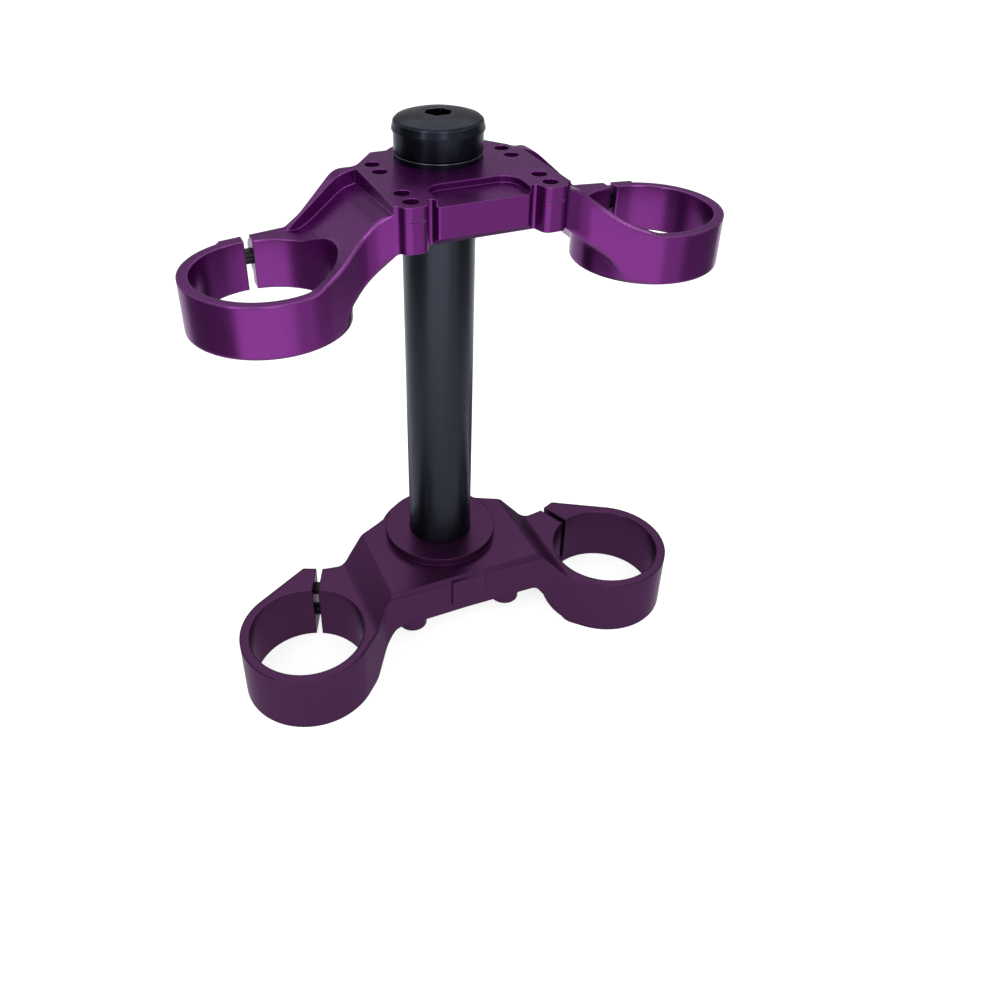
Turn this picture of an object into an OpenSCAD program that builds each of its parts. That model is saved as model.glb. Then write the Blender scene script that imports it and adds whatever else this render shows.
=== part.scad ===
/* [Stem] */
// Outside diameter of the steering stem
stem_d = 30; // [28:0.5:32]
// Wall of the steering stem
stem_wall = 3.5; // [2.5:0.5:5]
// Radial room between the stem and the two clamps
stem_fit = 0.05; // [0.02:0.01:0.2]
// Depth of the stem's upper end below the top face of the upper clamp
stem_top_drop = 1.2; // [0.5:0.1:3]
// Length of stem that shows below the hub of the lower clamp
stem_tail = 4; // [3.5:0.5:8]

/* [Fork] */
// Distance between the two fork leg centres
fork_spacing = 156; // [152:1:170]
// Distance that the fork legs stand ahead of the stem
fork_offset = 31; // [28:0.5:34]
// Diameter of the fork leg bores
fork_bore_d = 52; // [48:0.5:53]
// Edge break at the mouths of the fork leg bores
bore_chamfer = 0.3; // [0.2:0.1:0.8]

/* [Upper clamp] */
// Height of the underside of the upper rings above the ground
upper_ring_z = 189.1; // [160:1:230]
// Height of the upper rings
upper_ring_h = 19.5; // [18:0.5:26]
// Wall of the upper rings
upper_ring_wall = 4; // [3.5:0.25:6]
// Rise of the top face above the upper rings
upper_rise = 21.1; // [18:0.5:26]
// Thickness of the centre block of the upper clamp
upper_block_t = 17; // [15:0.5:20]
// Half width of the top face
plate_x = 34.2; // [33.6:0.2:36]
// Step from the top face down to the arms
arm_step = 3; // [2:0.1:4]
// Distance of the front wall ahead of the stem
upper_front = 45; // [43:0.5:46]
// Distance of the bolt columns' faces ahead of the stem
column_front = 48.3; // [47.8:0.1:50]
// Distance of the plate's rear edge behind the stem
plate_rear = 14; // [12:0.5:16]
// Radius of the upper hub behind the stem
upper_hub_r = 21.7; // [20:0.1:24]
// Width of the slot in the upper rings
upper_slot = 3.2; // [2:0.1:4]
// Depth of the shallow recess at the front of the top face
recess_depth = 2.5; // [1:0.25:4]
// Half width of the recess
recess_x = 18; // [15:0.5:19]
// Distance of the recess's rear wall ahead of the stem
recess_rear = 29.3; // [28.5:0.1:34]
// Corner radius of the recess
recess_corner = 7; // [3:0.5:9]

/* [Upper arms] */
// Slope of the arms' top faces down towards the rear, in degrees
arm_tilt = 4; // [2:0.5:6]
// Distance ahead of the stem at which the arms' top faces are at their stated height
arm_pivot_y = 46; // [40:1:50]
// Distance from the stem to the front face of the rear ribs, forwards
rib_y = 0.5; // [0:0.5:3]
// Depth of the rear ribs below the top face where the arms start to fall
rib_drop = 2.4; // [1.5:0.1:3.5]
// Edge break along the bottom of the front wall
front_break = 2.7; // [1:0.1:4]

/* [Handlebar mount holes] */
// Diameter of the mount holes
mount_hole_d = 6; // [5:0.1:6.6]
// Distance between the left and right holes
mount_spacing_x = 54; // [52:0.5:55]
// Distance between the front and rear holes of one set
mount_spacing_y = 33; // [30:0.5:34]
// Distance between the two sets of holes
mount_shift = 9; // [8:0.5:10]
// Distance of the foremost holes ahead of the stem
mount_front_y = 42; // [41:0.25:43]

/* [Lower clamp] */
// Height of the lower rings
lower_ring_h = 29.6; // [26:0.2:34]
// Wall of the lower rings
lower_ring_wall = 4.5; // [4:0.25:6]
// Rise of the centre block's top above the lower rings
lower_rise = 11; // [8:0.5:14]
// Thickness of the lower centre block
lower_block_t = 20.3; // [17:0.1:22]
// Distance of the lower front wall ahead of the stem
lower_front = 36.5; // [35:0.25:38]
// Half width of the lower centre block's top
lower_block_x = 38; // [36:0.5:39]
// Radius of the lower hub
lower_hub_r = 30; // [28.5:0.25:31]
// Diameter of the round bearing seat
seat_d = 54; // [48:0.5:56]
// Height of the bearing seat
seat_h = 3.9; // [2:0.1:6]
// Depth of the hub below the centre block
hub_drop = 8.3; // [4:0.1:9]
// Radius of the hub below the centre block
hub_drop_r = 21; // [19.5:0.5:23]
// Width of the slot in the lower rings
lower_slot = 3; // [2:0.1:4]
// Lean of the lower slots towards the stem
lower_slot_angle = 23.6; // [22:0.2:25]
// Width of the raised square on the front wall
pad_w = 17; // [12:0.5:20]
// Height of the raised square
pad_h = 15; // [10:0.5:18]
// Projection of the raised square
pad_t = 1.2; // [0.6:0.1:1.6]
// Drop of the raised square's top below the top face
pad_drop = 1; // [0.5:0.1:1.5]
// Edge break along the top of the front wall
lower_break = 1.8; // [0.5:0.1:2.5]

/* [Steering stops] */
// Diameter of the two steering stops
stop_d = 13.8; // [10:0.2:15]
// Depth of the stops below the centre block
stop_drop = 10.4; // [6:0.2:14]
// Distance of each stop from the middle
stop_x = 24.7; // [23:0.1:27]
// Distance of the stops ahead of the stem
stop_y = 25.5; // [25:0.1:28]

/* [Pinch bolts] */
// Shank diameter of the pinch bolts
pinch_d = 6; // [5:0.5:6]
// Head diameter of the pinch bolts
pinch_head_d = 10; // [9:0.5:10]
// Head height of the pinch bolts
pinch_head_h = 6; // [5:0.5:6]
// Width across flats of the pinch bolt sockets
pinch_key = 5; // [4:0.5:5]
// Radial room round the pinch bolts
pinch_fit = 0.15; // [0.1:0.05:0.3]
// Distance of the upper pinch bolts from the fork leg centre
upper_pinch_reach = 31.5; // [31.2:0.1:32]
// Height of the upper pinch bolts above the underside of the upper rings
upper_pinch_rise = 11.4; // [9:0.1:12]
// Radius of the bosses round the upper pinch bolts
pinch_boss_r = 6.5; // [6.4:0.1:7]
// Distance of the lower pinch bolts from the fork leg centre
lower_pinch_reach = 35.5; // [35:0.1:36]
// Distance between the two pinch bolts of one lower ring
lower_pinch_pitch = 14; // [13:0.5:15]

/* [Stem cap] */
// Wall of the washer and the collar
collar_wall = 6.15; // [5:0.05:7]
// Radial room between the cap bolt's thread and the washer and collar
collar_fit = 0.3; // [0.1:0.05:0.5]
// Thickness of the washer under the collar
washer_t = 2.3; // [1.5:0.1:3]
// Height of the collar
collar_h = 8.6; // [6:0.2:12]
// Diameter of the cap bolt's head
cap_d = 36.2; // [35:0.1:38]
// Height of the cap bolt's head
cap_h = 6; // [5:0.25:8]
// Thread diameter of the cap bolt
cap_thread_d = 22; // [18:0.5:22.5]
// Length of the cap bolt's thread
cap_thread_l = 24; // [18:1:30]
// Radial room between the cap bolt's thread and the stem
thread_fit = 0.05; // [0.02:0.01:0.1]
// Width across flats of the cap bolt's socket
cap_key = 10; // [8:0.5:12]

/* [Snap ring] */
// Thickness of the snap ring on the stem
snap_t = 1.5; // [1:0.25:2]
// Depth of the snap ring's groove
snap_groove = 1.1; // [0.8:0.1:1.5]
// Radial width of the snap ring
snap_w = 4; // [3:0.25:5]

/* [Hidden] */
purple = [0.42, 0.13, 0.45];
black = [0.13, 0.14, 0.15];
round_steps = 6;
ring_sink = 0.05;
eps = 0.01;
far = 60;

stem_r = stem_d / 2;
stem_hole_r = stem_r + stem_fit;
fork_x = fork_spacing / 2;
fork_y = -fork_offset;
fork_r = fork_bore_d / 2;

upper_ring_r = fork_r + upper_ring_wall;
upper_ring_top = upper_ring_z + upper_ring_h;
plate_z = upper_ring_top + upper_rise;
upper_block_z = plate_z - upper_block_t;

lower_ring_r = fork_r + lower_ring_wall;
lower_top = lower_ring_h + lower_rise;
lower_block_z = lower_top - lower_block_t;
seat_z = lower_top + seat_h;
hub_z = lower_block_z - hub_drop;

collar_hole_r = cap_thread_d / 2 + collar_fit;
collar_r = collar_hole_r + collar_wall;
washer_z = plate_z;
collar_z = washer_z + washer_t;
cap_z = collar_z + collar_h;

// Where the upper arms start to fall, where they reach the rings, and where their undersides do
arm_knee_x = plate_x + 5.3;
arm_knee_z = plate_z - arm_step - 1.4;
arm_foot_x = fork_x - 17.6;
rib_knee_x = plate_x + 7.1;
rib_foot_x = fork_x - 15.5;
under_knee_x = fork_x - 26.5;
under_knee_z = upper_ring_z + 8.7;
under_foot_x = fork_x - 20.3;

// Point of the upper front wall that is tangent to the ring, and of the lower one
upper_wall_angle = 234.2;
lower_wall_angle = 225;
lug_angle = 58.5;

// How far the lower lugs reach from the fork leg centre, and their two outer corners across the slot
lug_reach = lower_pinch_reach + pinch_head_d / 2 + 0.5;
lug_front = 8;
lug_rear = 2.5;
slot_clear = 2;

slot_dir = 90 + lower_slot_angle;

// Point at a radius and an angle from a centre
function polar(c, r, a) = [c[0] + r * cos(a), c[1] + r * sin(a)];

// Corner where an outline meets a ring, a little inside the ring's wall
function on_ring(r, a) = concat(polar([fork_x, fork_y], r - ring_sink, a), 0);
function unit(v) = v / norm(v);

// One corner [x, y, r] between its neighbours, rounded to its radius
function corner(p, c, n) =
    let (q = [c[0], c[1]], r = c[2])
    r == 0 ? [q] :
    let (
        u = unit([p[0], p[1]] - q),
        v = unit([n[0], n[1]] - q),
        half = acos(max(-1, min(1, u * v))) / 2,
        m = q + unit(u + v) * r / sin(half),
        s = q + u * r / tan(half) - m,
        e = q + v * r / tan(half) - m,
        a = atan2(s[1], s[0]),
        turn = atan2(e[1], e[0]) - a,
        d = turn > 180 ? turn - 360 : turn < -180 ? turn + 360 : turn
    )
    [for (i = [0 : round_steps]) polar(m, r, a + d * i / round_steps)];

// Outline through corners [x, y, r]
function rounded(pts) = [
    for (i = [0 : len(pts) - 1])
        each corner(pts[(i + len(pts) - 1) % len(pts)], pts[i], pts[(i + 1) % len(pts)])
];

// Right half of an outline, closed by its own mirror image
function both_sides(half) = concat(half, [
    for (i = [len(half) - 1 : -1 : 0]) if (half[i][0] > eps) [-half[i][0], half[i][1], half[i][2]]
]);

module both() {
    children();
    mirror([1, 0, 0]) children();
}

// Side profile in X and Z, drawn out along Y
module profile(pts) {
    translate([0, far, 0]) rotate([90, 0, 0]) linear_extrude(height = 2 * far + 20) polygon(pts);
}

module plan(pts, z0, z1) {
    translate([0, 0, z0]) linear_extrude(height = z1 - z0) polygon(pts);
}

module fork_leg(r, z0, z1) {
    translate([fork_x, fork_y, z0]) cylinder(r = r, h = z1 - z0, $fn = 96);
}

// Fork leg bore with an edge break at its two mouths
module fork_bore(z0, z1) {
    fork_leg(fork_r, z0 - 1, z1 + far);
    translate([fork_x, fork_y, z0 - eps])
        cylinder(r1 = fork_r + bore_chamfer, r2 = fork_r, h = bore_chamfer, $fn = 96);
}

module on_stem(r, z0, z1) {
    translate([0, 0, z0]) cylinder(r = r, h = z1 - z0, $fn = 96);
}

upper_boss_end = fork_x + 10.5;

upper_half = [
    [0, -upper_front, 0],
    [recess_x - 0.4, -upper_front, 1],
    [recess_x + 1.4, -upper_front + 2.6, 1.2],
    [recess_x + 3.2, -upper_front + 2.6, 1.2],
    [mount_spacing_x / 2 - 4.2, -column_front, 3.2],
    [mount_spacing_x / 2 + 4.2, -column_front, 3.4],
    [mount_spacing_x / 2 + 5.6, -upper_front + 0.6, 2.5],
    [plate_x + 10.3, -upper_front + 1.4, 14],
    on_ring(upper_ring_r, upper_wall_angle),
    [fork_x, fork_y, 0],
    [upper_boss_end, fork_y + fork_r / 2, 0],
    [upper_boss_end, fork_y + upper_ring_r + 0.2, 0.8],
    [rib_foot_x + 1, 3.6, 3],
    [rib_foot_x - 6, 1.6, 6],
    [plate_x + 5.5, 6.6, 5],
    [plate_x - 1.5, 1.6, 3],
    [plate_x - 10.9, plate_rear, 1.5],
    [0, plate_rear, 0]
];

// Side view of the upper clamp's blank, before the arms' tops are cut
upper_side = [
    [0, plate_z, 0],
    [plate_x + 9, plate_z, 0],
    [rib_foot_x + 2, upper_ring_top, 12],
    [fork_x + far, upper_ring_top, 0],
    [fork_x + far, upper_ring_z, 0],
    [under_foot_x, upper_ring_z, 2],
    [under_knee_x, under_knee_z, 5],
    [plate_x - 2, upper_block_z, 4],
    [0, upper_block_z, 0]
];

// Everything above the arm's top face, whose left side is the step down from the plate
above_arm = [
    [plate_x, plate_z + far, 0],
    [plate_x, plate_z - arm_step, 0],
    [arm_knee_x, arm_knee_z, 10],
    [arm_foot_x, upper_ring_top, 32],
    [fork_x, upper_ring_top, 0],
    [fork_x, plate_z + far, 0]
];

// Everything above the rear rib, which leaves the top face a little inside the step
above_rib = [
    [plate_x - 7.5, plate_z + far, 0],
    [plate_x - 7.5, plate_z + 1, 0],
    [rib_knee_x, plate_z - rib_drop, 14],
    [rib_foot_x, upper_ring_top, 3],
    [fork_x, upper_ring_top, 0],
    [fork_x, plate_z + far, 0]
];

// The arm's top face ahead of the rib slopes down to the rear
module arm_top_cut() {
    pivot_z = (arm_knee_z + upper_ring_top) / 2;
    intersection() {
        translate([0, -arm_pivot_y, pivot_z])
            rotate([-arm_tilt, 0, 0])
                translate([0, arm_pivot_y, -pivot_z])
                    profile(rounded(above_arm));
        translate([plate_x - 1, -far, upper_ring_top])
            cube([fork_x - plate_x, far - rib_y, far]);
    }
}

module rib_top_cut() {
    intersection() {
        profile(rounded(above_rib));
        translate([plate_x - 8, -rib_y - 1, upper_ring_top - 1])
            cube([fork_x - plate_x, far, far]);
    }
}

upper_pinch_z = upper_ring_z + upper_pinch_rise;
upper_pinch_y = fork_y + upper_pinch_reach;
upper_pinch_seat = upper_boss_end - pinch_head_h + 0.2;
upper_thread_end = fork_x - 12;

module along_x(r, x0, x1) {
    translate([x0, upper_pinch_y, upper_pinch_z]) rotate([0, 90, 0]) cylinder(r = r, h = x1 - x0, $fn = 48);
}

module upper_pinch_boss() {
    along_x(pinch_boss_r, fork_x - 9, upper_boss_end);
    translate([fork_x - 9 - pinch_boss_r, upper_pinch_y, upper_pinch_z])
        rotate([0, 90, 0])
            cylinder(r1 = 0.5, r2 = pinch_boss_r, h = pinch_boss_r, $fn = 48);
}

module upper_ring() {
    intersection() {
        fork_leg(upper_ring_r, upper_ring_z - 1, plate_z);
        profile(rounded(upper_side));
    }
    fork_leg(upper_ring_r, upper_ring_z, upper_ring_top);
    upper_pinch_boss();
}

module upper_arm_cuts() {
    arm_top_cut();
    rib_top_cut();
    fork_bore(upper_ring_z, upper_ring_top);
    translate([fork_x - upper_slot / 2, fork_y + fork_r - slot_clear, upper_ring_z - 1])
        cube([upper_slot, upper_pinch_reach + pinch_boss_r - fork_r + 2 * slot_clear, upper_ring_h + 2]);
    along_x(pinch_d / 2 + pinch_fit, upper_thread_end, upper_boss_end + 1);
    along_x(pinch_head_d / 2 + pinch_fit, upper_pinch_seat, upper_boss_end + 1);
    translate([mount_spacing_x / 2 - 6, -column_front - 1, plate_z - 5.6])
        cube([12, 1.4, 0.6]);
    for (set = [0, 1], row = [0, 1])
        translate([mount_spacing_x / 2, -mount_front_y + set * mount_shift + row * mount_spacing_y, upper_block_z - 1])
            cylinder(d = mount_hole_d, h = upper_block_t + 2, $fn = 32);
}

module upper_clamp() {
    color(purple) difference() {
        union() {
            intersection() {
                plan(rounded(both_sides(upper_half)), upper_ring_z, plate_z);
                profile(rounded(both_sides(upper_side)));
            }
            on_stem(upper_hub_r, upper_block_z, plate_z);
            both() upper_ring();
        }
        on_stem(stem_hole_r, upper_block_z - 1, plate_z + 1);
        plan(rounded([
            [-recess_x, -column_front - 2, 0], [recess_x, -column_front - 2, 0],
            [recess_x, -recess_rear, recess_corner], [-recess_x, -recess_rear, recess_corner]
        ]), plate_z - recess_depth, plate_z + 1);
        translate([0, -upper_front, upper_block_z])
            rotate([45, 0, 0])
                cube([2 * recess_x + 6.4, front_break * sqrt(2), front_break * sqrt(2)], center = true);
        both() upper_arm_cuts();
    }
}

// A place at the lower slot: along is measured from the fork leg centre, across from the slot's middle
function at_slot(along, across) =
    [fork_x, fork_y] + along * [cos(slot_dir), sin(slot_dir)] + across * [sin(slot_dir), -cos(slot_dir)];

lug_corner = at_slot(lug_reach, lug_front);
lug_back = at_slot(lug_reach, -lug_rear);

lower_half = [
    [0, -lower_front, 0],
    [lower_block_x + 3, -lower_front - 0.5, 8],
    on_ring(lower_ring_r, lower_wall_angle),
    [fork_x, fork_y, 0],
    on_ring(lower_ring_r, lug_angle),
    [lug_corner[0], lug_corner[1], 1],
    [lug_back[0], lug_back[1], 5],
    [lower_block_x + 13.5, 4.4, 5],
    [lower_block_x + 8, 7.4, 5],
    [lower_block_x, 10.6, 9],
    [27, 16.2, 6],
    [19, 21, 0],
    [0, 21, 0]
];

lower_side = [
    [0, lower_top, 0],
    [lower_block_x, lower_top, 3],
    [lower_block_x + 10.5, lower_ring_h, 5],
    [fork_x + far, lower_ring_h, 0],
    [fork_x + far, 0, 0],
    [lower_block_x + 12, 0, 4],
    [lower_block_x + 3.6, lower_block_z - 7.3, 5],
    [lower_block_x - 1.5, lower_block_z, 5],
    [0, lower_block_z, 0]
];

// Along a lower pinch bolt, from the slot's middle outwards
module along_pinch(r, z, t0, t1, fn = 48) {
    p = at_slot(lower_pinch_reach, t0);
    translate([p[0], p[1], z])
        rotate([0, 0, slot_dir - 90])
            rotate([0, 90, 0])
                cylinder(r = r, h = t1 - t0, $fn = fn);
}

lower_pinch_seat = 4.4;
lower_thread_end = -12;
lower_pinch_z = [
    lower_ring_h / 2 + lower_pinch_pitch / 2,
    lower_ring_h / 2 - lower_pinch_pitch / 2
];

module lower_arm_cuts() {
    fork_bore(0, lower_ring_h);
    translate([fork_x, fork_y, lower_ring_h - bore_chamfer + eps])
        cylinder(r1 = fork_r, r2 = fork_r + bore_chamfer, h = bore_chamfer, $fn = 96);
    translate([fork_x, fork_y, -1])
        rotate([0, 0, slot_dir])
            translate([fork_r - slot_clear, -lower_slot / 2, 0])
                cube([lug_reach - fork_r + 2 * slot_clear, lower_slot, lower_ring_h + 2]);
    for (z = lower_pinch_z) {
        along_pinch(pinch_d / 2 + pinch_fit, z, lower_thread_end, 20);
        along_pinch(pinch_head_d / 2 + pinch_fit, z, lower_pinch_seat, 24);
    }
}

module lower_clamp() {
    color(purple) difference() {
        union() {
            difference() {
                intersection() {
                    plan(rounded(both_sides(lower_half)), 0, lower_top);
                    profile(rounded(both_sides(lower_side)));
                }
                translate([0, -lower_front, lower_top])
                    rotate([45, 0, 0])
                        cube([2 * lower_block_x + 7, lower_break * sqrt(2), lower_break * sqrt(2)], center = true);
            }
            on_stem(lower_hub_r, lower_block_z, lower_top);
            on_stem(hub_drop_r, hub_z, lower_top);
            on_stem(seat_d / 2, lower_top - 1, seat_z);
            both() fork_leg(lower_ring_r, 0, lower_ring_h);
            both() translate([stop_x, -stop_y, lower_block_z - stop_drop])
                cylinder(d = stop_d, h = stop_drop + 1, $fn = 48);
            translate([-pad_w / 2, -lower_front - pad_t, lower_top - pad_h])
                cube([pad_w, pad_t + 3, pad_h - pad_drop]);
        }
        on_stem(stem_hole_r, hub_z - 1, seat_z + 1);
        both() lower_arm_cuts();
    }
}

snap_z = hub_z - snap_t;
snap_r = stem_r - snap_groove;

module steering_stem() {
    stem_end = hub_z - stem_tail;
    color(black) difference() {
        on_stem(stem_r, stem_end, plate_z - stem_top_drop);
        on_stem(stem_r - stem_wall, stem_end - 1, cap_z - cap_thread_l - 2);
        on_stem(cap_thread_d / 2 + thread_fit, stem_end, plate_z);
        difference() {
            on_stem(stem_r + 1, snap_z, hub_z);
            on_stem(snap_r, snap_z - 1, hub_z + 1);
        }
    }
}

module stem_washer() {
    color(black) difference() {
        on_stem(collar_r, washer_z, collar_z);
        on_stem(collar_hole_r, washer_z - 1, collar_z + 1);
    }
}

module stem_collar() {
    edge = 0.6;
    color(black) translate([0, 0, collar_z])
        rotate_extrude($fn = 96)
            polygon([
                [collar_hole_r, 0], [collar_r - edge, 0], [collar_r, edge],
                [collar_r, collar_h], [collar_hole_r, collar_h]
            ]);
}

module stem_cap_bolt() {
    head_r = cap_d / 2;
    socket_depth = 7;
    color(black) difference() {
        union() {
            translate([0, 0, cap_z])
                rotate_extrude($fn = 96)
                    polygon([
                        [0, 0], [head_r, 0], [head_r, 0.6], [head_r - 0.7, cap_h - 2.7],
                        [head_r - 1.6, cap_h - 1.9], [head_r - 6, cap_h - 0.6], [head_r - 10.5, cap_h], [0, cap_h]
                    ]);
            on_stem(cap_thread_d / 2, cap_z - cap_thread_l, cap_z + 1);
        }
        translate([0, 0, cap_z + cap_h - socket_depth])
            cylinder(d = cap_key / cos(30), h = socket_depth + 1, $fn = 6);
    }
}

// Socket-head screw along +X, with the underside of its head at x = 0
module pinch_screw(length) {
    difference() {
        union() {
            rotate([0, -90, 0]) cylinder(d = pinch_d, h = length, $fn = 32);
            rotate([0, 90, 0]) cylinder(d = pinch_head_d, h = pinch_head_h, $fn = 48);
        }
        translate([pinch_head_h - 3, 0, 0])
            rotate([0, 90, 0])
                cylinder(d = pinch_key / cos(30), h = 4, $fn = 6);
    }
}

module upper_pinch_bolt() {
    color(black) translate([upper_pinch_seat, upper_pinch_y, upper_pinch_z])
        pinch_screw(upper_pinch_seat - upper_thread_end - 1);
}

module lower_pinch_bolt(z) {
    p = at_slot(lower_pinch_reach, lower_pinch_seat);
    color(black) translate([p[0], p[1], z])
        rotate([0, 0, slot_dir - 90])
            pinch_screw(lower_pinch_seat - lower_thread_end - 1);
}

module stem_snap_ring() {
    gap = 60;
    ring_in = snap_r + 0.05;
    color(black) difference() {
        on_stem(ring_in + snap_w, snap_z, hub_z);
        on_stem(ring_in, snap_z - 1, hub_z + 1);
        translate([0, 0, snap_z - 1])
            linear_extrude(height = snap_t + 2)
                polygon([[0, 0], [far * sin(gap / 2), far * cos(gap / 2)], [-far * sin(gap / 2), far * cos(gap / 2)]]);
    }
}

upper_clamp();
lower_clamp();
steering_stem();
stem_washer();
stem_collar();
stem_cap_bolt();
mirror([1, 0, 0]) upper_pinch_bolt();  // upper_pinch_bolt_left
upper_pinch_bolt();  // upper_pinch_bolt_right
mirror([1, 0, 0]) lower_pinch_bolt(lower_pinch_z[0]);  // lower_pinch_bolt_left_top
mirror([1, 0, 0]) lower_pinch_bolt(lower_pinch_z[1]);  // lower_pinch_bolt_left_bottom
lower_pinch_bolt(lower_pinch_z[0]);  // lower_pinch_bolt_right_top
lower_pinch_bolt(lower_pinch_z[1]);  // lower_pinch_bolt_right_bottom
stem_snap_ring();
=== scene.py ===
import math

import bpy
from mathutils import Matrix, Vector

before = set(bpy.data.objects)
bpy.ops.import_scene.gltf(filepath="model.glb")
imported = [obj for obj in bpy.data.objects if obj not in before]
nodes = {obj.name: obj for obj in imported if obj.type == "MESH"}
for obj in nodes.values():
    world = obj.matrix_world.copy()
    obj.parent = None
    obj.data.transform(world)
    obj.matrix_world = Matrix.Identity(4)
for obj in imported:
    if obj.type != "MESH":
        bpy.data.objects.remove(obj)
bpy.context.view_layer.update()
scene = bpy.context.scene
scene.view_settings.view_transform = "Standard"

# The photograph's frame and the camera that was fitted to it, in millimetres, degrees and pixels
PHOTO_SIDE = 1000
CAMERA_PLACE = (-132.2, -332.3, 345.3)
CAMERA_YAW = 22.644
CAMERA_PITCH = -34.382
CAMERA_ROLL = 0.298
FOCAL_PIXELS = 928.9
AXIS_PIXEL = (452.3, 430.5)
SENSOR = 36.0

MM = 0.001
WHITE = (1, 1, 1, 1)

# Strength of the backdrop as it is seen and mirrored, and of the room as it lights the object
BACKDROP_SEEN = 1.0
ROOM_LIGHT = 0.55
# Side of the floor in metres, the shade of its paint, and the glow that makes it look white
FLOOR_SIDE = 12
FLOOR_SHADE = 0.45
FLOOR_GLOW = 0.78
# Height above the floor at which the upright cards start and the flat card lies
UPRIGHT_LIFT = 2 * MM
FLAT_LIFT = 1 * MM
# Place near the middle of the object, in metres, that a soft box faces when no other is given
MIDDLE = (0, -0.02, 0.14)

# Distances from the middle at which the clamps' blocks end, their arms start and end, and the
# rings start
BLOCK_EDGE = 34 * MM
ARM_START = 38 * MM
ARM_END = 60 * MM
RING_START = 66 * MM
# Places along Y between which the arms' edges turn from soft in front to sharper behind
ARM_FRONT = -30 * MM
ARM_REAR = -22 * MM

# Cells of the grain, the soft patches and the streaks in a metre. Along Z the streaks have only a
# twentieth of theirs, which draws them out upright
GRAIN_SCALE = 2600.0
PATCH_SCALE = 38.0
STREAK_SCALE = 260.0
STREAK_ALONG_Z = 0.05
GRAIN_DEPTH = 0.05 * MM
# How far an edge turns away from its face, as one minus a cosine, where its painted edge shading starts and
# is full
EDGE_SHADING_START = 0.004
EDGE_SHADING_FULL = 0.16
# Share of the edge colour where the edge mask is full. The edge colour paints a highlight along the edges
# of the upper clamp, stem, cap and bolts, and shade along those of the lower clamp
EDGE_SHADING_SHARE = 0.55
# The colour's darkest and lightest share, and what patches and streaks add to where it lies between
DARK_SHARE = 0.80
LIGHT_SHARE = 1.18
PATCH_SHARE = 0.65
STREAK_SHARE = 0.35
# Values of that mixture at which the surface is smoothest and roughest
SMOOTH_AT = 0.35
ROUGH_AT = 0.65
# Direction round which the tool marks run, a little off upright so that the flat tops have them too
TOOL_AXIS = (0.2, 0.1, 1.0)
QUARTER_TURN = 0.25


def make_camera():
    yaw, pitch, roll = (math.radians(a) for a in (CAMERA_YAW, CAMERA_PITCH, CAMERA_ROLL))
    ahead = Vector((math.sin(yaw) * math.cos(pitch), math.cos(yaw) * math.cos(pitch), math.sin(pitch)))
    level = Vector((math.cos(yaw), -math.sin(yaw), 0))
    upright = level.cross(ahead)
    right = level * math.cos(roll) + upright * math.sin(roll)
    up = upright * math.cos(roll) - level * math.sin(roll)
    data = bpy.data.cameras.new("camera")
    data.sensor_width = SENSOR
    data.lens = FOCAL_PIXELS / PHOTO_SIDE * SENSOR
    data.shift_x = 0.5 - AXIS_PIXEL[0] / PHOTO_SIDE
    data.shift_y = AXIS_PIXEL[1] / PHOTO_SIDE - 0.5
    data.clip_start = 0.01
    camera = bpy.data.objects.new("camera", data)
    turn = Matrix((right, up, -ahead)).transposed()
    camera.matrix_world = Matrix.Translation(Vector(CAMERA_PLACE) * MM) @ turn.to_4x4()
    scene.collection.objects.link(camera)
    scene.camera = camera


class Nodes:
    """A node tree with short calls to add and join its nodes."""

    def __init__(self, tree):
        self.tree = tree
        tree.nodes.clear()

    def add(self, kind, inputs=None, **settings):
        node = self.tree.nodes.new(kind)
        for name, value in settings.items():
            setattr(node, name, value)
        for name, value in (inputs or {}).items():
            self.put(node.inputs[name], value)
        return node

    def put(self, socket, value):
        if isinstance(value, bpy.types.NodeSocket):
            self.tree.links.new(value, socket)
        else:
            socket.default_value = value

    def math(self, operation, *values):
        node = self.add("ShaderNodeMath", dict(enumerate(values)), operation=operation)
        return node.outputs[0]

    def blend(self, share, first, second):
        """A mix of two colours. Its sockets are taken by number, as each kind of value has an A and a B."""
        node = self.add("ShaderNodeMix", data_type="RGBA")
        self.put(node.inputs[0], share)
        self.put(node.inputs[6], first)
        self.put(node.inputs[7], second)
        return node.outputs[2]

    def seen_as_background(self):
        """One for rays that see or mirror the background, and zero for those that light the object."""
        rays = self.add("ShaderNodeLightPath")
        mirrored = self.math("MAXIMUM", rays.outputs["Is Glossy Ray"], rays.outputs["Is Transmission Ray"])
        return self.math("MAXIMUM", rays.outputs["Is Camera Ray"], mirrored)


def new_material(name):
    material = bpy.data.materials.new(name)
    material.use_nodes = True
    return material, Nodes(material.node_tree)


def make_world():
    world = bpy.data.worlds.new("studio")
    scene.world = world
    world.use_nodes = True
    net = Nodes(world.node_tree)
    backdrop = net.add("ShaderNodeBackground", {"Color": WHITE, "Strength": BACKDROP_SEEN})
    room = net.add("ShaderNodeBackground", {"Color": WHITE, "Strength": ROOM_LIGHT})
    seen = net.seen_as_background()
    mix = net.add("ShaderNodeMixShader", {0: seen, 1: room.outputs[0], 2: backdrop.outputs[0]})
    out = net.add("ShaderNodeOutputWorld")
    net.put(out.inputs["Surface"], mix.outputs[0])


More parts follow.
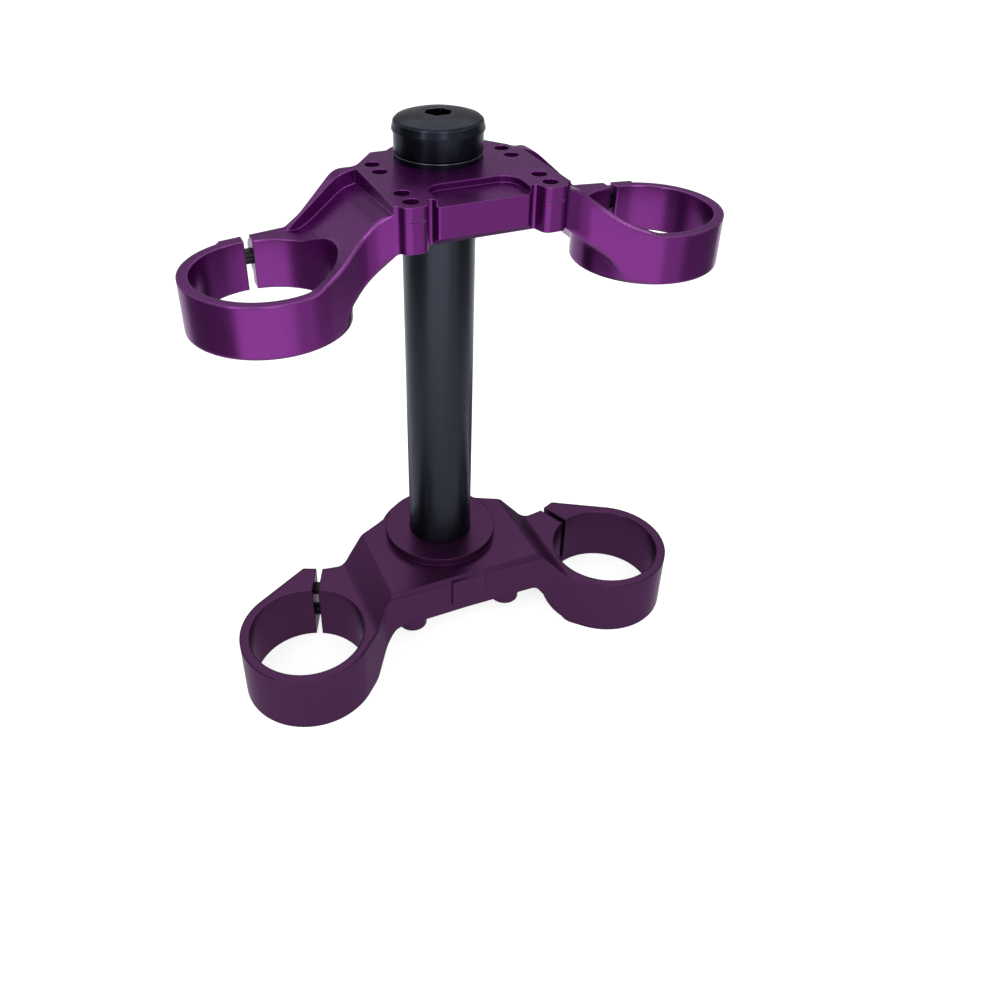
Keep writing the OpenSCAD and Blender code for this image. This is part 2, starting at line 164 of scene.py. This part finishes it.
def make_floor():
    """A pale floor that keeps the object's shadow and looks white beside it."""
    bpy.ops.mesh.primitive_plane_add(size=FLOOR_SIDE)
    floor = bpy.context.object
    floor.name = "floor"
    material, net = new_material("floor_white")
    paint = net.add("ShaderNodeBsdfDiffuse", {"Color": (FLOOR_SHADE, FLOOR_SHADE, FLOOR_SHADE, 1)})
    glow = net.add("ShaderNodeEmission", {"Color": WHITE, "Strength": FLOOR_GLOW})
    no_glow = net.add("ShaderNodeEmission", {"Color": WHITE, "Strength": 0.0})
    seen = net.seen_as_background()
    lift = net.add("ShaderNodeMixShader", {0: seen, 1: no_glow.outputs[0], 2: glow.outputs[0]})
    both = net.add("ShaderNodeAddShader", {0: paint.outputs[0], 1: lift.outputs[0]})
    out = net.add("ShaderNodeOutputMaterial")
    net.put(out.inputs["Surface"], both.outputs[0])
    floor.data.materials.append(material)


def place_round(thing, azimuth, distance, height, target):
    """Put a lamp or card round the origin, facing the target.

    The azimuth is in degrees from +Y towards +X, and lengths are in metres.
    """
    a = math.radians(azimuth)
    place = Vector((math.sin(a) * distance, math.cos(a) * distance, height))
    turn = (place - Vector(target)).to_track_quat("Z", "Y").to_matrix().to_4x4()
    thing.matrix_world = Matrix.Translation(place) @ turn
    thing.visible_camera = False


def soft_box(name, azimuth, distance, height, width, tall, radiance, target=MIDDLE):
    """An area lamp that a mirror would show at the given radiance."""
    data = bpy.data.lights.new(name, "AREA")
    data.shape = "RECTANGLE"
    data.size = width
    data.size_y = tall
    data.energy = radiance * math.pi * width * tall
    lamp = bpy.data.objects.new(name, data)
    scene.collection.objects.link(lamp)
    place_round(lamp, azimuth, distance, height, target)


def sheet(name, corners):
    mesh = bpy.data.meshes.new(name)
    mesh.from_pydata(corners, [], [(0, 1, 2, 3)])
    card = bpy.data.objects.new(name, mesh)
    scene.collection.objects.link(card)
    return card


def only_mirrored(card, shade):
    """Paint a stage card grey and keep it out of everything but reflections."""
    card.visible_camera = False
    card.visible_shadow = False
    card.visible_diffuse = False
    material, net = new_material(card.name + "_paper")
    paint = net.add("ShaderNodeBsdfDiffuse", {"Color": (shade, shade, shade, 1)})
    out = net.add("ShaderNodeOutputMaterial")
    net.put(out.inputs["Surface"], paint.outputs[0])
    card.data.materials.append(material)


def upright_card(name, azimuth, distance, width, tall, shade):
    half = width / 2
    card = sheet(name, [(-half, 0, 0), (half, 0, 0), (half, tall, 0), (-half, tall, 0)])
    place_round(card, azimuth, distance, UPRIGHT_LIFT, (0, 0, UPRIGHT_LIFT))
    only_mirrored(card, shade)


def flat_card(name, x, y, width, depth, shade):
    left, right = x - width / 2, x + width / 2
    front, back = y - depth / 2, y + depth / 2
    corners = [(left, front), (right, front), (right, back), (left, back)]
    only_mirrored(sheet(name, [(*corner, FLAT_LIFT) for corner in corners]), shade)


def make_lamps():
    soft_box("lamp_left", azimuth=-118, distance=1.15, height=0.75, width=0.30, tall=1.1, radiance=6)
    soft_box("lamp_front", azimuth=-172, distance=1.2, height=0.95, width=0.35, tall=0.9, radiance=6)
    soft_box("lamp_right", azimuth=128, distance=1.2, height=0.60, width=0.28, tall=1.0, radiance=5)
    soft_box("lamp_top", azimuth=10, distance=0.3, height=1.5, width=0.9, tall=0.9, radiance=2)
    # Hangs far behind and gives the lower clamp's tops their light
    soft_box("lamp_rear", azimuth=22, distance=1.7, height=1.6, width=2.0, tall=0.9, radiance=1.2,
             target=(0, 0, 0.04))
    # Lies on the floor in front and gives the front walls and the rings their wide highlights
    soft_box("lamp_low", azimuth=202, distance=0.30, height=0.004, width=0.42, tall=0.26, radiance=1.7,
             target=(0.02, 0, 0.2))
    # Give the sides of the rings their dark bands
    upright_card("card_right", azimuth=114, distance=0.30, width=0.34, tall=0.45, shade=0.42)
    upright_card("card_left", azimuth=272, distance=0.32, width=0.40, tall=0.45, shade=0.30)
    # Tones down the white that the tops mirror
    upright_card("card_rear", azimuth=22, distance=1.6, width=2.4, tall=1.25, shade=0.62)
    # Lies behind the right half, so that its walls don't mirror the white floor there
    flat_card("card_under", x=0.08, y=0.11, width=0.26, depth=0.15, shade=0.15)


def group(name, inputs, outputs):
    """A new shader node group: its tree, its Nodes, and its input and output nodes."""
    tree = bpy.data.node_groups.new(name, "ShaderNodeTree")
    for label, value in inputs.items():
        socket = tree.interface.new_socket(label, in_out="INPUT", socket_type="NodeSocketFloat")
        socket.default_value = value
    for label, kind in outputs.items():
        tree.interface.new_socket(label, in_out="OUTPUT", socket_type=kind)
    made = Nodes(tree)
    return tree, made, made.add("NodeGroupInput"), made.add("NodeGroupOutput")


def edge_radius(net, given, where):
    """Radius of the soft edges by place: the block, then the arms, then the rings."""
    place = net.add("ShaderNodeSeparateXYZ", {0: where})
    sideways = net.math("ABSOLUTE", place.outputs["X"])
    arm = net.add("ShaderNodeMapRange", {
        "Value": place.outputs["Y"], "From Min": ARM_FRONT, "From Max": ARM_REAR,
        "To Min": given.outputs["Arm Edge"], "To Max": given.outputs["Block Edge"]})
    inner = net.add("ShaderNodeMapRange", {
        "Value": sideways, "From Min": BLOCK_EDGE, "From Max": ARM_START,
        "To Min": given.outputs["Block Edge"], "To Max": arm.outputs[0]})
    radius = net.add("ShaderNodeMapRange", {
        "Value": sideways, "From Min": ARM_END, "From Max": RING_START,
        "To Min": inner.outputs[0], "To Max": given.outputs["Ring Edge"]})
    return radius.outputs[0]


def make_machined_group():
    """Blasted grain, soft patches, upright streaks and a mask of the edges, for every metal here."""
    tree, net, given, out = group(
        "machined_skin",
        {"Block Edge": 0.6 * MM, "Arm Edge": 0.6 * MM, "Ring Edge": 0.6 * MM},
        {"Patches": "NodeSocketFloat", "Streaks": "NodeSocketFloat", "Edge": "NodeSocketFloat",
         "Normal": "NodeSocketVector"})
    where = net.add("ShaderNodeTexCoord").outputs["Object"]
    grain = net.add("ShaderNodeTexNoise", {
        "Vector": where, "Scale": GRAIN_SCALE, "Detail": 3.0, "Roughness": 0.6})
    patches = net.add("ShaderNodeTexNoise", {
        "Vector": where, "Scale": PATCH_SCALE, "Detail": 3.0, "Roughness": 0.5})
    upright = net.add("ShaderNodeMapping", {"Vector": where, "Scale": (1.0, 1.0, STREAK_ALONG_Z)})
    streaks = net.add("ShaderNodeTexNoise", {
        "Vector": upright.outputs[0], "Scale": STREAK_SCALE, "Detail": 4.0, "Roughness": 0.65})
    soft = net.add("ShaderNodeBevel", {"Radius": edge_radius(net, given, where)}, samples=8)
    shape = net.add("ShaderNodeNewGeometry")
    facing = net.add("ShaderNodeVectorMath", {0: soft.outputs[0], 1: shape.outputs["Normal"]},
                     operation="DOT_PRODUCT")
    turned = net.math("SUBTRACT", 1.0, facing.outputs["Value"])
    edge = net.add("ShaderNodeMapRange", {"Value": turned, "From Min": EDGE_SHADING_START, "From Max": EDGE_SHADING_FULL})
    bump = net.add("ShaderNodeBump", {
        "Strength": 0.05, "Distance": GRAIN_DEPTH, "Height": grain.outputs[0], "Normal": soft.outputs[0]})
    net.put(out.inputs["Patches"], patches.outputs[0])
    net.put(out.inputs["Streaks"], streaks.outputs[0])
    net.put(out.inputs["Edge"], edge.outputs[0])
    net.put(out.inputs["Normal"], bump.outputs[0])
    return tree


def metal(name, skin, colour, edge_shading_colour, rim_tint, edges, metallic, roughness, spread, coat, brushed):
    """Metal whose colour, roughness and normal vary with the machined skin, and whose edges take the edge
    shading colour as painted light: a highlight where it is lighter than the colour, shade where it is
    darker.

    The edges are the soft radii of block, arms and rings in millimetres. The rim tint colours the
    light that surfaces seen from the side throw back. The spread is how far the roughness goes up
    and down, and brushed is how much the tool marks draw out the highlights.
    """
    material, net = new_material(name)
    made = net.add("ShaderNodeGroup", node_tree=skin)
    for label, radius in zip(("Block Edge", "Arm Edge", "Ring Edge"), edges):
        made.inputs[label].default_value = radius * MM
    dark = [c * DARK_SHARE for c in colour] + [1]
    light = [c * LIGHT_SHARE for c in colour] + [1]
    patched = net.math("MULTIPLY", made.outputs["Patches"], PATCH_SHARE)
    streaked = net.math("MULTIPLY", made.outputs["Streaks"], STREAK_SHARE)
    worn = net.math("ADD", patched, streaked)
    # Painted light: the edges take the edge shading colour, a painted highlight where it is lighter than
    # the colour and painted shade where it is darker
    painted_edge_share = net.math("MULTIPLY", made.outputs["Edge"], EDGE_SHADING_SHARE)
    base = net.blend(painted_edge_share, net.blend(worn, dark, light), [*edge_shading_colour, 1])
    rough = net.add("ShaderNodeMapRange", {
        "Value": worn, "From Min": SMOOTH_AT, "From Max": ROUGH_AT,
        "To Min": roughness - spread, "To Max": roughness + spread})
    shape = net.add("ShaderNodeNewGeometry")
    around = net.add("ShaderNodeVectorMath", {0: shape.outputs["Normal"], 1: TOOL_AXIS},
                     operation="CROSS_PRODUCT")
    shader = net.add("ShaderNodeBsdfPrincipled", {
        "Base Color": base, "Metallic": metallic, "Roughness": rough.outputs[0],
        "Normal": made.outputs["Normal"], "Specular Tint": [*rim_tint, 1], "Specular IOR Level": 0.1,
        "Anisotropic": brushed, "Anisotropic Rotation": QUARTER_TURN, "Tangent": around.outputs[0],
        "Coat Weight": coat, "Coat Roughness": 0.28, "Coat IOR": 1.5})
    out = net.add("ShaderNodeOutputMaterial")
    net.put(out.inputs["Surface"], shader.outputs[0])
    return material


def dress(material, *names):
    for name in names:
        slots = nodes[name].data.materials
        slots.clear()
        slots.append(material)


def dress_object():
    skin = make_machined_group()
    # The clamps aren't wholly metallic, so that they keep some colour where they mirror something dark
    # The upper clamp's edge colour is lighter than its colour: a painted highlight along its edges
    upper = metal(
        "upper_anodised", skin, colour=(0.090, 0.006, 0.105), edge_shading_colour=(0.20, 0.06, 0.23),
        rim_tint=(0.70, 0.58, 0.74), edges=(0.6, 3.2, 1.5), metallic=0.82,
        roughness=0.27, spread=0.05, coat=0.22, brushed=0.5)
    # The lower clamp's colour is darker than the upper's to paint the shade it sits in low near the floor,
    # and its edge colour is darker still: painted shade along its edges
    lower = metal(
        "lower_anodised", skin, colour=(0.047, 0.012, 0.049), edge_shading_colour=(0.014, 0.005, 0.016),
        rim_tint=(0.50, 0.42, 0.52), edges=(0.8, 2.2, 1.3), metallic=0.82,
        roughness=0.33, spread=0.04, coat=0.10, brushed=0.5)
    # The edge colours of stem, cap and bolts are lighter than their colours: painted highlights along their
    # edges, the cap's as light lines on the washer and collar
    stem = metal(
        "stem_black", skin, colour=(0.018, 0.020, 0.028), edge_shading_colour=(0.05, 0.055, 0.065),
        rim_tint=(0.75, 0.78, 0.85), edges=(0.6, 0.6, 0.6), metallic=1.0,
        roughness=0.34, spread=0.05, coat=0.10, brushed=0.5)
    cap = metal(
        "cap_black", skin, colour=(0.011, 0.013, 0.021), edge_shading_colour=(0.20, 0.22, 0.26),
        rim_tint=(0.70, 0.70, 0.72), edges=(0.6, 0.6, 0.6), metallic=1.0,
        roughness=0.30, spread=0.05, coat=0.10, brushed=0.4)
    bolt = metal(
        "bolt_black", skin, colour=(0.014, 0.014, 0.015), edge_shading_colour=(0.05, 0.05, 0.05),
        rim_tint=(0.7, 0.7, 0.7), edges=(0.4, 0.4, 0.4), metallic=1.0,
        roughness=0.38, spread=0.05, coat=0.10, brushed=0.0)
    dress(upper, "upper_clamp")
    dress(lower, "lower_clamp")
    dress(stem, "steering_stem", "stem_snap_ring")
    dress(cap, "stem_washer", "stem_collar", "stem_cap_bolt")
    dress(bolt, *(name for name in nodes if "pinch_bolt" in name))


make_camera()
make_world()
make_floor()
make_lamps()
dress_object()
